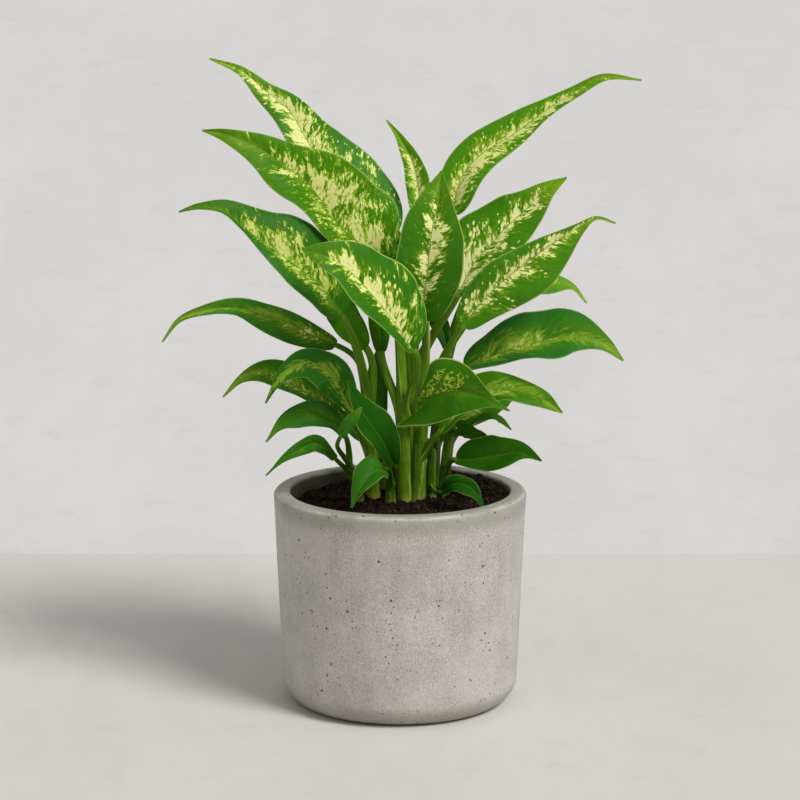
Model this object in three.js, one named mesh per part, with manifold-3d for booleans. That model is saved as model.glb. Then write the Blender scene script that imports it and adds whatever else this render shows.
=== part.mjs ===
// A potted dieffenbachia: a round concrete pot, its soil, nine stems that stand in the soil, and a blade
// for every leaf. Millimetres, +Z up. The origin is the centre of the pot's foot, on the surface
// that the pot stands on, and -Y is the plant's front.
import * as THREE from "three";
import { mergeVertices } from "three/addons/utils/BufferGeometryUtils.js";
import Module from "manifold-3d";

const wasm = await Module();
wasm.setup();

// Driving dimensions. The pot is 150 mm across its rim, and everything else is in proportion to it.
const GAP = 0.3; // clearance between pieces that touch on the real thing
const POT = {
  rimRadius: 75,
  footRadius: 69.4, // where the straight outer wall would meet the ground
  height: 127.5,
  wall: 9.8,
  floor: 13,
  footRound: 14,
  lipRound: 4.8,
  innerRound: 8,
  sides: 40,
};
const SOIL = {
  level: 119, // height of the surface at the wall
  mound: 2.5, // rise towards the stems
  slope: 0.03, // rise for each millimetre to the right and to the back
  lumps: 1.1,
  rings: [56, 42, 28, 14],
  sides: 32,
};
const FRONT = new THREE.Vector3(0, -0.98, 0.19); // the way the plant faces: forward and a little up
const STEM = { depth: 26, sides: 8, steps: 4 }; // depth that each stem stands in the soil
const PETIOLE = { root: 4, end: 2.3, sides: 6, steps: 6 };
const BLADE = {
  edge: 0.65, // thickness at the margin
  middle: 1.0, // thickness of the sheet beside the midrib
  ribDepth: 3.2, // depth of the midrib at the base of the blade
  places: [0.12, 0.35, 0.6, 0.85], // shares of a blade's length where its half widths are given
  baseHalf: 2.2, // half width where the blade meets its petiole
  tipHalf: 0.5,
  across: 0.52, // share of the half width where the sheet has its fold line
  cycles: 2.2, // waves of the margin along a blade
  lobeAt: 0.12, // share of the length where a swept base reaches furthest
};

// Each stem's canes: where each one leaves the soil and passes on its way up, and its radius at both
// ends.
const CANES = {
  middle_left: {
    node: "stem_middle",
    line: [[3.2, -1, 120], [2, -2, 142], [1.8, -3, 172]],
    radius: [4.2, 3.8],
  },
  middle_right: {
    node: "stem_middle",
    line: [[10.8, -1.6, 121], [11.4, -2, 145], [13, -4, 174]],
    radius: [4.1, 3.8],
  },
  front_left: {
    node: "stem_front_left",
    line: [[-5.5, -9, 120], [-5.5, -10, 134], [-5, -11, 152]],
    radius: [2.8, 2.4],
  },
  front_right: {
    node: "stem_front_right",
    line: [[18.4, 4.8, 120], [18.6, 4, 134], [19, 4, 152]],
    radius: [3, 2.5],
  },
  left: {
    node: "stem_left",
    line: [[-16, 8, 120], [-17, 5, 150], [-19, 0, 176]],
    radius: [4, 3.2],
  },
  low_left: {
    node: "stem_low_left",
    line: [[-24, 0, 120], [-27, -1, 132], [-30, -3, 144]],
    radius: [2.8, 2.2],
  },
  right: {
    node: "stem_right",
    line: [[26, 9, 120], [28, 9, 145], [31, 9, 166]],
    radius: [3.6, 2.8],
  },
  back: {
    node: "stem_back",
    line: [[5, 18, 120], [5, 19, 160], [6, 20, 200]],
    radius: [4.4, 3.4],
  },
  back_left: {
    node: "stem_back_left",
    line: [[-9, 27, 120], [-10, 27, 145], [-11, 26, 166]],
    radius: [3.6, 2.8],
  },
  back_right: {
    node: "stem_back_right",
    line: [[20, 27, 120], [21, 28, 145], [23, 28, 170]],
    radius: [3.8, 3],
  },
};

// Each leaf: the cane that it grows on, the height where its petiole leaves it, and the points of its
// midrib from the petiole to the tip. right and left are the half widths of the blade to either side of
// the midrib, seen on the upper face with the tip ahead, at the shares of the length in BLADE.places.
// turn is the angle in degrees by which the upper face is turned about the midrib from the plant's
// front, at the base, the middle and the tip: above 0 it lifts the face of a left-hand leaf to the sky,
// and below 0 that of a right-hand one. fold is how steeply the halves rise from the midrib, wave the
// height of the margin's waves, phase their place along it, and lobe how far the base reaches back past
// the petiole on the right and on the left. stout is how thick the petiole is for the leaf's size, and
// rise and hold are the shares of its reach over which it keeps to its cane and to its blade.
const LEAF = {
  turn: [0, 0, 0], fold: 16, wave: 1.4, phase: 0, lobe: [0, 0],
  stout: 1, rise: 0.4, hold: 0.3,
};
const LEAVES = {
  leaf_top_left: {
    cane: "back", from: 176, right: [24, 27, 11, 3], left: [13, 15, 13, 4],
    turn: [35, 25, -15],
    rib: [
      [-3, 22, 276], [-24, 26, 294], [-41, 30, 311], [-53, 34, 328],
      [-66, 38, 349], [-80, 40, 360], [-94, 40, 372], [-112, 36, 379],
    ],
  },
  leaf_second_left: {
    cane: "middle_left", from: 158, right: [32, 32, 16, 5], left: [13, 15, 18, 7],
    turn: [25, 20, -10], fold: 20, phase: 1, rise: 0.5, hold: 0.1,
    rib: [
      [-9, -2, 262], [-24, -6, 276], [-37, -9, 288], [-52, -14, 310],
      [-68, -18, 323], [-81, -20, 332], [-100, -21, 340], [-113, -20, 342],
    ],
  },
  leaf_third_left: {
    cane: "left", from: 150, right: [19, 26, 19, 4], left: [14, 18, 5, 3],
    turn: [30, 35, 40], fold: 20, phase: 2, stout: 1.2,
    rib: [
      [-34, -16, 234], [-45, -22, 252], [-63, -28, 268], [-79, -32, 280],
      [-91, -34, 290], [-101, -36, 298], [-114, -36, 300], [-126, -34, 297],
    ],
  },
  leaf_fourth_left: {
    cane: "left", from: 140, right: [6.5, 8.5, 6, 1.5], left: [7.5, 11.5, 4, 2],
    turn: [-10, -22, 0], fold: 14, phase: 3, rise: 0.8,
    rib: [
      [-38, 1, 214], [-51, -8, 221], [-67, -17, 231], [-81, -21, 236],
      [-95, -24, 240], [-112, -27, 239], [-127, -29, 234], [-137, -30, 221],
    ],
  },
  leaf_arched_left: {
    cane: "left", from: 132, right: [7, 11, 8, 1.5], left: [5.5, 12, 10, 3],
    turn: [10, 0, -10],
    rib: [
      [-27, -16, 177], [-32, -24, 188], [-40, -32, 203], [-53, -38, 211],
      [-63, -42, 208], [-71, -45, 200], [-77, -46, 188],
    ],
  },
  leaf_behind_arch: {
    cane: "left", from: 128, right: [5, 10, 11, 2], left: [4, 6, 6, 2.5],
    turn: [20, 25, 10], phase: 1,
    rib: [
      [-33, 8, 169], [-38, 6, 173], [-50, 3, 182], [-65, 0, 191],
      [-81, -3, 197], [-94, -5, 194], [-104, -6, 184],
    ],
  },
  leaf_low_left: {
    cane: "low_left", from: 138, right: [4.5, 8, 6, 2], left: [4, 7.5, 8, 2],
    wave: 1, phase: 2,
    rib: [[-33, -10, 163], [-40, -14, 172], [-52, -18, 177], [-67, -22, 173], [-78, -25, 161]],
  },
  leaf_lowest_left: {
    cane: "low_left", from: 128, right: [3, 5.5, 3.5, 1], left: [3.5, 5.5, 3.5, 1],
    fold: 22, wave: 1, phase: 3,
    rib: [
      [-38, -19, 150], [-43, -21, 156], [-49, -23, 160],
      [-56, -25, 158], [-67, -27, 152], [-78, -30, 142],
    ],
  },
  leaf_small_left: {
    cane: "low_left", from: 134, right: [2.5, 3, 3, 1.8], left: [3, 4.2, 4.2, 2],
    wave: 0.4,
    rib: [[-34, -38, 167], [-29, -43, 175], [-22, -48, 186]],
  },
  leaf_front_left: {
    cane: "front_left", from: 130, right: [7, 13, 11, 4.5], left: [5, 9, 11, 4],
    turn: [5, 38, 30], wave: 1, phase: 1,
    rib: [[-3, -21, 146], [-10, -28, 162], [-18, -33, 175], [-25, -36, 187], [-30, -38, 200]],
  },
  leaf_small_front: {
    cane: "front_left", from: 126, right: [9, 10.5, 7, 2.5], left: [7, 7.8, 5, 1.5],
    turn: [30, 30, 20], wave: 0.6, phase: 2,
    rib: [[-9, -30, 146], [-15, -38, 146], [-22, -44, 139], [-28, -47, 127]],
  },
  leaf_small_right: {
    cane: "front_right", from: 126, right: [3.5, 5.8, 7, 3], left: [3.5, 5.5, 4.5, 1.5],
    turn: [-30, -30, -20], wave: 0.6, phase: 3,
    rise: 0.2,
    rib: [[24, -20, 130], [30, -26, 136], [37, -30, 137], [44, -34, 133], [49, -37, 124]],
  },
  leaf_low_right: {
    cane: "right", from: 130, right: [5, 9, 9, 2], left: [11, 13, 10.5, 4.5],
    turn: [-25, -20, -15], wave: 1,
    rib: [[33, -4, 146], [41, -8, 147], [56, -13, 150], [70, -18, 153], [83, -21, 149]],
  },
  leaf_thin_right: {
    cane: "right", from: 142, right: [2, 3.8, 4, 2], left: [1.5, 2.3, 2, 1],
    turn: [-40, -40, -40], wave: 0.6, phase: 1,
    rib: [[42, 20, 163], [51, 23, 167], [59, 25, 166], [67, 26, 158]],
  },
  leaf_behind_low_right: {
    cane: "right", from: 138, right: [3.3, 6, 5, 2], left: [2.6, 4.5, 3.5, 2],
    turn: [-30, -30, -30], wave: 0.6, phase: 2,
    rib: [[32, 4, 160], [38, 4, 162], [45, 3, 160], [54, 1, 157]],
  },
  leaf_front_right: {
    cane: "middle_right", from: 154, right: [12, 17, 12, 2.5], left: [9, 21, 11, 2],
    phase: 3, lobe: [30, 0], stout: 0.8,
    rib: [[12, -41, 189.5], [21, -48, 193.5], [34, -56, 197], [48, -63, 194], [62, -68, 188]],
  },
  leaf_lower_right: {
    cane: "middle_right", from: 138, right: [5.5, 6, 10, 6], left: [8, 17, 10.5, 4.5],
    turn: [-45, -40, -15], stout: 1.2,
    rib: [[24, -10, 164], [35, -12, 176], [50, -14, 186], [64, -16, 190], [82, -18, 186], [95, -18, 177]],
  },
  leaf_third_right: {
    cane: "right", from: 152, right: [7, 11, 16, 5.5], left: [13.5, 18.5, 18, 4.8],
    turn: [-35, -30, -10], phase: 1,
    rib: [
      [38, 6, 200], [53, 0, 207], [67, -6, 214], [85, -11, 219],
      [102, -15, 223], [119, -18, 218], [130, -19, 208],
    ],
  },
  leaf_second_right: {
    cane: "middle_right", from: 150, right: [11, 19, 17, 2], left: [12, 15, 8, 2],
    turn: [10, 18, 20], phase: 2, stout: 1.1,
    rib: [
      [37, -12, 227], [47, -15, 241], [58, -18, 253], [81, -22, 272],
      [103, -24, 287], [113, -24, 292], [124, -23, 289],
    ],
  },
  leaf_upper_right: {
    cane: "back", from: 172, right: [13, 19.5, 16, 8], left: [14.5, 24, 16.5, 4.5],
    turn: [-20, -22, -5], phase: 3,
    rib: [
      [34, 12, 242], [44, 14, 261], [53, 15, 271], [62, 16, 281],
      [74, 17, 292], [85, 17, 304], [98, 16, 311],
    ],
  },
  leaf_top_right: {
    cane: "back", from: 180, right: [14, 12, 6.5, 4], left: [12, 13.5, 7.2, 1.5],
    turn: [-10, -20, -30], fold: 25,
    rib: [
      [31, 18, 289], [36, 22, 310], [47, 25, 323], [68, 28, 336],
      [83, 30, 347], [103, 31, 360], [120, 31, 369], [142, 28, 367],
    ],
  },
  leaf_youngest: {
    cane: "back", from: 188, right: [6.5, 8.2, 5, 2], left: [7.5, 8, 6, 2],
    fold: 30, wave: 0.5, phase: 1,
    rib: [[12, 26, 287], [11, 30, 302], [8, 33, 317], [1, 35, 331], [-8, 36, 343]],
  },
  leaf_centre: {
    cane: "middle_right", from: 160, right: [15, 20, 20, 7], left: [12, 19, 18, 10],
    turn: [0, 0, -25], wave: 1, phase: 2,
    rib: [[15, -12, 230], [14, -19, 244], [16, -26, 262], [18, -30, 283], [22, -28, 303], [24, -20, 319]],
  },
  leaf_front: {
    cane: "middle_left", from: 160, right: [20, 27, 23, 10], left: [7, 12, 16, 9],
    turn: [30, 35, 15], fold: 18, wave: 1.2, phase: 3,
    rib: [
      [8, -30, 216], [1, -38, 228], [-8, -47, 242], [-18, -54, 255],
      [-31, -59, 269], [-44, -61, 276], [-55, -61, 279],
    ],
  },
  leaf_under_third: {
    cane: "left", from: 160, right: [9, 13, 11, 5], left: [9, 13, 11, 5],
    turn: [40, 40, 40], wave: 1, stout: 1.2,
    rib: [[-20, 3, 212], [-34, 2, 230], [-46, 0, 249], [-61, -3, 266]],
  },
  leaf_back_middle_left: {
    cane: "middle_left", from: 160, right: [5, 7, 7, 3], left: [5, 6.5, 6.5, 3],
    phase: 1, stout: 1.5,
    rib: [[-11, 5, 209], [-12, 10, 224], [-13, 16, 239], [-15, 21, 252]],
  },
  leaf_back_middle_right: {
    cane: "back_right", from: 160, right: [3.5, 5, 4, 2], left: [3.5, 6, 6, 3],
    phase: 2,
    rib: [[28, 13, 210], [25, 20, 221], [20, 28, 232], [16, 34, 240]],
  },
  leaf_back_top: {
    cane: "back", from: 184, right: [13, 17, 14, 5], left: [13, 17, 14, 5],
    phase: 3,
    rib: [[9, 24, 237], [12, 44, 257], [17, 66, 278], [21, 84, 291]],
  },
  leaf_back_top_left: {
    cane: "back", from: 166, right: [14, 19, 15, 5], left: [14, 19, 15, 5],
    turn: [15, 15, 15],
    rib: [[-5, 26, 258], [-22, 48, 280], [-39, 68, 298], [-52, 82, 312], [-60, 90, 318]],
  },
  leaf_back_top_right: {
    cane: "back_right", from: 160, right: [13, 17, 14, 5], left: [13, 17, 14, 5],
    turn: [-15, -15, -15], phase: 1,
    rib: [[42, 28, 243], [52, 45, 256], [64, 62, 270], [76, 74, 281], [86, 80, 287]],
  },
  leaf_back_right: {
    cane: "back_right", from: 148, right: [12, 17, 13, 3], left: [12, 16, 12, 3],
    turn: [-50, -50, -40], phase: 2, hold: 0.1,
    rib: [[39, 24, 230], [52, 34, 238], [72, 48, 243], [91, 56, 242], [105, 61, 239], [114, 64, 229]],
  },
  leaf_inner_left: {
    cane: "back_left", from: 138, right: [5, 6, 5, 2], left: [6, 8, 7, 3],
    phase: 2,
    rib: [[-12, 30, 162], [-13, 35, 180], [-12, 39, 197], [-10, 41, 212]],
  },
  leaf_back_low_left: {
    cane: "back_left", from: 136, right: [10, 14, 12, 4], left: [10, 14, 12, 4],
    wave: 1, phase: 3,
    rib: [[-17, 30, 150], [-22, 48, 159], [-28, 66, 164], [-33, 82, 165]],
  },
  leaf_back_low: {
    cane: "back_right", from: 136, right: [11, 15, 12, 4], left: [11, 15, 12, 4],
    wave: 1,
    rib: [[12, 32, 158], [14, 54, 168], [17, 76, 173], [20, 94, 170]],
  },
  leaf_back_low_right: {
    cane: "back_right", from: 142, right: [10, 13, 11, 4], left: [10, 13, 11, 4],
    turn: [-20, -20, -20], wave: 1, phase: 1,
    rib: [[32, 30, 160], [48, 44, 170], [64, 58, 174], [78, 68, 170]],
  },
};

// A closed body through rings of points. The first ring and the last are closed by fans from their
// first point. A blade's ring runs over its upper face and back under its lower one: from the point
// numbered flip on, squares are split along the other diagonal, so that both faces are split alike.
function loft(rings, flip = Infinity) {
  const count = rings[0].length;
  const positions = rings.flat().flatMap((p) => [p.x, p.y, p.z]);
  const faces = [];
  const at = (ring, k) => ring * count + (k % count);
  for (let i = 0; i + 1 < rings.length; i++) {
    for (let k = 0; k < count; k++) {
      const [a, b, c, d] = [at(i, k), at(i, k + 1), at(i + 1, k + 1), at(i + 1, k)];
      faces.push(...(k < flip ? [a, b, c, a, c, d] : [a, b, d, b, c, d]));
    }
  }
  const last = rings.length - 1;
  for (let k = 1; k + 1 < count; k++) {
    faces.push(at(0, 0), at(0, k + 1), at(0, k));
    faces.push(at(last, 0), at(last, k), at(last, k + 1));
  }
  const geometry = new THREE.BufferGeometry();
  geometry.setAttribute("position", new THREE.Float32BufferAttribute(positions, 3));
  geometry.setIndex(faces);
  return geometry;
}

const vector = (p) => new THREE.Vector3(...p);

// Breadth of a blade where it is about widest.
const breadth = (leaf) => leaf.right[1] + leaf.left[1];

// Turn of a blade's face about its midrib at the share u of its length, in degrees.
function turnAt(u, leaf) {
  const [base, middle, tip] = leaf.turn;
  return base * (1 - u) * (1 - 2 * u) + middle * 4 * u * (1 - u) + tip * u * (2 * u - 1);
}

// Tangent, upper normal and side of a blade at places along its midrib, closer together near its ends.
function framesAlong(leaf, steps) {
  const curve = new THREE.CatmullRomCurve3(leaf.rib.map(vector));
  const frames = [];
  for (let i = 0; i <= steps; i++) {
    const u = 0.5 - 0.5 * Math.cos((Math.PI * i) / steps);
    const tangent = curve.getTangentAt(u);
    const normal = FRONT.clone().addScaledVector(tangent, -FRONT.dot(tangent)).normalize();
    normal.applyAxisAngle(tangent, THREE.MathUtils.degToRad(turnAt(u, leaf)));
    frames.push({ u, point: curve.getPointAt(u), tangent, normal, side: tangent.clone().cross(normal) });
  }
  return frames;
}

// The value at x of a smooth line through the points (xs[i], ys[i]).
function smoothThrough(xs, ys, x) {
  const last = xs.length - 1;
  const slope = (k) => {
    const [below, above] = [Math.max(k - 1, 0), Math.min(k + 1, last)];
    return (ys[above] - ys[below]) / (xs[above] - xs[below]);
  };
  let i = 0;
  while (i < last - 1 && x > xs[i + 1]) i++;
  const span = xs[i + 1] - xs[i];
  const t = (x - xs[i]) / span;
  const ends = ys[i] * (1 - t) ** 2 * (1 + 2 * t) + ys[i + 1] * t * t * (3 - 2 * t);
  return ends + span * t * (1 - t) * (slope(i) * (1 - t) - slope(i + 1) * t);
}

// Half width of a blade at the share u of its length. It opens roundly from the base, and closes to the
// tip in a point.
function halfWidth(u, sizes) {
  const places = [0, ...BLADE.places, 1].map(Math.sqrt);
  return smoothThrough(places, [BLADE.baseHalf, ...sizes, BLADE.tipHalf], Math.sqrt(u));
}

// Height of a blade's sheet above its midrib, at the share v of its half width.
function sheetRise(u, v, half, leaf) {
  const out = Math.abs(v);
  const fold = half * Math.sin(THREE.MathUtils.degToRad(leaf.fold)) * out * (1.4 - 0.7 * out);
  const waves = Math.sin(2 * Math.PI * BLADE.cycles * u + leaf.phase + (v < 0 ? 1.7 : 0));
  return fold + leaf.wave * waves * out * out * Math.sin(Math.PI * u);
}

// How far a blade's margin is swept back at its base, so that the base is heart-shaped.
function sweepBack(u, v, leaf) {
  const near = u / BLADE.lobeAt;
  return leaf.lobe[v > 0 ? 0 : 1] * Math.abs(v) ** 3 * (near * Math.exp(1 - near)) ** 2;
}

// One blade: a thin sheet whose lower face thickens to a midrib.
function bladeGeometry(entry) {
  const leaf = { ...LEAF, ...entry };
  const steps = breadth(leaf) > 28 ? 10 : 7;
  const across = [-1, -BLADE.across, 0, BLADE.across, 1];
  const flat = Math.cos(THREE.MathUtils.degToRad(leaf.fold));
  const rings = framesAlong(leaf, steps).map(({ u, point, tangent, normal, side }) => {
    const place = (v, drop) => {
      const half = halfWidth(u, v > 0 ? leaf.right : leaf.left);
      return point
        .clone()
        .addScaledVector(side, half * v * flat)
        .addScaledVector(normal, sheetRise(u, v, half, leaf) - drop)
        .addScaledVector(tangent, -sweepBack(u, v, leaf));
    };
    const thickness = (v) => {
      if (v === 0) return BLADE.ribDepth * (1 - u) + BLADE.edge * u;
      return Math.abs(v) === 1 ? BLADE.edge : BLADE.middle + (BLADE.edge - BLADE.middle) * u;
    };
    const upper = across.map((v) => place(v, 0));
    const lower = across.map((v) => place(v, thickness(v))).reverse();
    return [...upper, ...lower];
  });
  return loft(rings, across.length);
}

// A round body that tapers along a curve from one radius to another.
function taper(curve, steps, sides, radius, grow = 0) {
  const frames = curve.computeFrenetFrames(steps, false);
  const rings = [];
  for (let i = 0; i <= steps; i++) {
    const centre = curve.getPointAt(i / steps);
    const size = radius(i / steps) + grow;
    const ring = [];
    for (let k = 0; k < sides; k++) {
      const angle = (2 * Math.PI * k) / sides;
      ring.push(
        centre
          .clone()
          .addScaledVector(frames.normals[i], size * Math.cos(angle))
          .addScaledVector(frames.binormals[i], size * Math.sin(angle)),
      );
    }
    rings.push(ring);
  }
  return loft(rings);
}

// A closed geometry as a solid that can be cut and joined, and back.
function solidOf(geometry) {
  const bare = geometry.clone();
  bare.deleteAttribute("normal");
  bare.deleteAttribute("uv");
  const merged = mergeVertices(bare, 1e-4);
  const mesh = new wasm.Mesh({
    numProp: 3,
    vertProperties: merged.attributes.position.array,
    triVerts: merged.index.array,
  });
  return new wasm.Manifold(mesh);
}

function geometryOf(solid) {
  const mesh = solid.getMesh();
  const geometry = new THREE.BufferGeometry();
  geometry.setAttribute("position", new THREE.Float32BufferAttribute(mesh.vertProperties, 3));
  geometry.setIndex([...mesh.triVerts]);
  return geometry;
}

// The centre line of a cane, from its foot in the soil to its top.
function caneCurve(cane) {
  const [foot] = cane.line;
  return new THREE.CatmullRomCurve3([[foot[0], foot[1], foot[2] - STEM.depth], ...cane.line].map(vector));
}

function caneBody(cane, grow = 0) {
  const [low, high] = cane.radius;
  return taper(caneCurve(cane), STEM.steps, STEM.sides, (u) => low + (high - low) * u, grow);
}

// The point and direction of a cane's centre line at a height.
function caneAt(cane, height) {
  const curve = caneCurve(cane);
  let [below, above] = [0, 1];
  for (let i = 0; i < 20; i++) {
    const middle = (below + above) / 2;
    if (curve.getPoint(middle).z < height) below = middle;
    else above = middle;
  }
  return { point: curve.getPoint(below), tangent: curve.getTangent(below) };
}

// A petiole rises along its cane and ends face to face with its blade.
function petioleGeometry(entry) {
  const leaf = { ...LEAF, ...entry };
  const root = caneAt(CANES[leaf.cane], leaf.from);
  const rib = new THREE.CatmullRomCurve3(leaf.rib.map(vector));
  const out = rib.getTangentAt(0);
  const end = rib.getPointAt(0).addScaledVector(out, -GAP);
  const reach = end.distanceTo(root.point);
  const curve = new THREE.CubicBezierCurve3(
    root.point,
    root.point.clone().addScaledVector(root.tangent, leaf.rise * reach),
    end.clone().addScaledVector(out, -leaf.hold * reach),
    end,
  );
  const slim = Math.min(1, leaf.stout * (0.4 + breadth(leaf) / 70));
  const size = (u) => slim * (PETIOLE.root + (PETIOLE.end - PETIOLE.root) * Math.sqrt(u));
  return taper(curve, PETIOLE.steps, PETIOLE.sides, size);
}

// A stem: its canes, fused with the petioles that grow from them.
function leafyStem(node) {
  let solid = null;
  const join = (geometry) => {
    const body = solidOf(geometry);
    solid = solid ? solid.add(body) : body;
  };
  for (const [name, cane] of Object.entries(CANES)) {
    if (cane.node !== node) continue;
    join(caneBody(cane));
    for (const leaf of Object.values(LEAVES)) {
      if (leaf.cane === name) join(petioleGeometry(leaf));
    }
  }
  return geometryOf(solid);
}

// The points of an arc in the pot's profile.
function arc(centreRadius, centreHeight, size, from, to, steps) {
  const points = [];
  for (let i = 0; i <= steps; i++) {
    const angle = THREE.MathUtils.degToRad(from + ((to - from) * i) / steps);
    const [radius, height] = [size * Math.cos(angle), size * Math.sin(angle)];
    points.push(new THREE.Vector2(centreRadius + radius, centreHeight + height));
  }
  return points;
}

const outerRadius = (z) => POT.footRadius + ((POT.rimRadius - POT.footRadius) * z) / POT.height;
const innerRadius = (z) => outerRadius(z) - POT.wall;

function potGeometry() {
  const { height, floor, footRound, lipRound, innerRound } = POT;
  const crest = height - lipRound;
  const profile = [
    new THREE.Vector2(0, 0),
    ...arc(outerRadius(footRound) - footRound, footRound, footRound, -90, 0, 4),
    ...arc(POT.rimRadius - lipRound, crest, lipRound, 0, 90, 3),
    ...arc(innerRadius(height) + lipRound, crest, lipRound, 90, 180, 3),
    ...arc(innerRadius(floor) - innerRound, floor + innerRound, innerRound, 0, -90, 2),
    new THREE.Vector2(0, floor),
  ];
  return new THREE.LatheGeometry(profile, POT.sides).rotateX(Math.PI / 2);
}

// Height of the soil's surface.
function soilHeight(x, y) {
  const r = Math.hypot(x, y);
  const reach = innerRadius(SOIL.level);
  const mound = SOIL.mound * Math.cos((Math.PI / 2) * Math.min(1, r / reach));
  const lumps = Math.sin(0.21 * x + 0.4) * Math.cos(0.24 * y - 0.7) + 0.6 * Math.sin(0.43 * x - 0.31 * y);
  return SOIL.level + mound + SOIL.slope * (x + y) + SOIL.lumps * lumps;
}

function soilGeometry() {
  const bottom = POT.floor + GAP;
  const low = bottom + POT.innerRound;
  const profile = [
    new THREE.Vector2(0, bottom),
    new THREE.Vector2(innerRadius(bottom) - POT.innerRound, bottom),
    new THREE.Vector2(innerRadius(low) - GAP - 0.4, low),
    new THREE.Vector2(innerRadius(SOIL.level) - GAP - 0.3, SOIL.level),
    ...SOIL.rings.map((radius) => new THREE.Vector2(radius, SOIL.level)),
    new THREE.Vector2(0, SOIL.level),
  ];
  const geometry = new THREE.LatheGeometry(profile, SOIL.sides).rotateX(Math.PI / 2);
  const position = geometry.getAttribute("position");
  for (let i = 0; i < position.count; i++) {
    if (position.getZ(i) < SOIL.level - 1) continue;
    position.setZ(i, soilHeight(position.getX(i), position.getY(i)));
  }
  let solid = solidOf(geometry);
  for (const cane of Object.values(CANES)) solid = solid.subtract(solidOf(caneBody(cane, GAP)));
  return geometryOf(solid);
}

const MATERIALS = {
  concrete: new THREE.MeshStandardMaterial({ color: 0xa5a19a, roughness: 0.75, metalness: 0 }),
  soil: new THREE.MeshStandardMaterial({ color: 0x2a1c14, roughness: 0.95, metalness: 0 }),
  stem: new THREE.MeshStandardMaterial({ color: 0x4f7d1c, roughness: 0.5, metalness: 0 }),
  leaf: new THREE.MeshStandardMaterial({ color: 0x2f7d17, roughness: 0.4, metalness: 0 }),
};

function piece(name, geometry, material) {
  geometry.computeVertexNormals();
  const mesh = new THREE.Mesh(geometry, material);
  mesh.name = name;
  return mesh;
}

const plant = new THREE.Group();
plant.add(piece("pot", potGeometry(), MATERIALS.concrete));
plant.add(piece("soil", soilGeometry(), MATERIALS.soil));
for (const node of new Set(Object.values(CANES).map((cane) => cane.node))) {
  plant.add(piece(node, leafyStem(node), MATERIALS.stem));
}
for (const [name, leaf] of Object.entries(LEAVES)) {
  plant.add(piece(name, bladeGeometry(leaf), MATERIALS.leaf));
}

export default plant;
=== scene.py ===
"""A potted dieffenbachia: concrete pot, crumbly soil, leafy stems and variegated blades. Metres, +Z up."""
import math
from itertools import combinations
from types import SimpleNamespace

import bpy
import numpy as np
from bpy.props import FloatProperty, FloatVectorProperty, IntProperty, PointerProperty
from bpy.types import Operator, Panel, PropertyGroup
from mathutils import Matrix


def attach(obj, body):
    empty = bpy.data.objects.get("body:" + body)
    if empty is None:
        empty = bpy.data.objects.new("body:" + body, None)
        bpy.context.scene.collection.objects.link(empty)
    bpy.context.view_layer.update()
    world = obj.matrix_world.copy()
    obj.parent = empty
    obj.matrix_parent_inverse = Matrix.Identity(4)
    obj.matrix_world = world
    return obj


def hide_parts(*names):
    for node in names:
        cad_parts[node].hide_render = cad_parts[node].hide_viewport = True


bl_info = {
    "name": "Potted dieffenbachia",
    "version": (1, 0, 0),
    "blender": (4, 5, 0),
    "location": "View3D > Sidebar > Plant",
    "description": "Builds a potted dieffenbachia on the packed model",
    "category": "Add Mesh",
}

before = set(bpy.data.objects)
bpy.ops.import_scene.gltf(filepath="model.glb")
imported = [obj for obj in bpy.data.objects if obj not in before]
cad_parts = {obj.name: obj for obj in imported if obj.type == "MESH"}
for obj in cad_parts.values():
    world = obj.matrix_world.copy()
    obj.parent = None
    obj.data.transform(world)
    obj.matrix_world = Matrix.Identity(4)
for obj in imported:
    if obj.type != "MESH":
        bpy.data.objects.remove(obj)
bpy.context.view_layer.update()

# Shapes are worked out in millimetres, as in the solid model, and the settings are in metres.
MM = 0.001
TURN = 2 * np.pi
# The gap between a petiole and its blade, and how deep a cane stands in the soil.
GAP, STEM_DEPTH = 0.3, 26.0
# The way that an unturned blade faces.
FRONT = np.array([0.0, -0.98, 0.19])
# Shares of a blade's length at which its half widths are given, and its half widths at both ends.
PLACES, BASE_HALF, TIP_HALF = [0.12, 0.35, 0.6, 0.85], 2.2, 0.5
# Waves along a blade's margin, how far the left margin lags, and where along the blade a lobe is largest.
CYCLES, LAG, LOBE_AT = 2.2, 1.7, 0.12
# A blade's thickness at its margin and what it gains inward, and the depth and half width of its midrib.
SHEET, INNER, MIDRIB, MIDRIB_HALF = 0.55, 0.25, 2.4, 1.7
# The share of its radius that a cane keeps at its top, and the steps along canes and petioles.
BLUNT, CANE_STEPS, PETIOLE_STEPS = 0.05, 40, 36
# The floor ends behind the plant, and a second sheet goes on as far as the floor's other sides.
FLOOR_END, FAR = 350.0, 40000.0


def cane(node, radius, line, tone, ring, seam):
    """A cane of the stem node: its radius at both ends, its places from the soil up, how light it is, partly
    its own green and partly painted shade, the height above the soil of an old leaf's ring, and the angles
    from the front, in radians, at which the edge of a leaf's sheath runs at its foot and at its top."""
    return SimpleNamespace(node=node, radius=radius, line=line, tone=tone, ring=ring, seam=seam)


def leaf(cane, start, rib, right, left, **own):
    """A leaf: the cane that carries it, the height where its petiole leaves that cane, the places of its
    midrib from base to tip, its half widths on both sides at PLACES, and what it has unlike LEAF."""
    return SimpleNamespace(cane=cane, start=start, rib=rib, right=right, left=left, **{**LEAF, **own})
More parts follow.
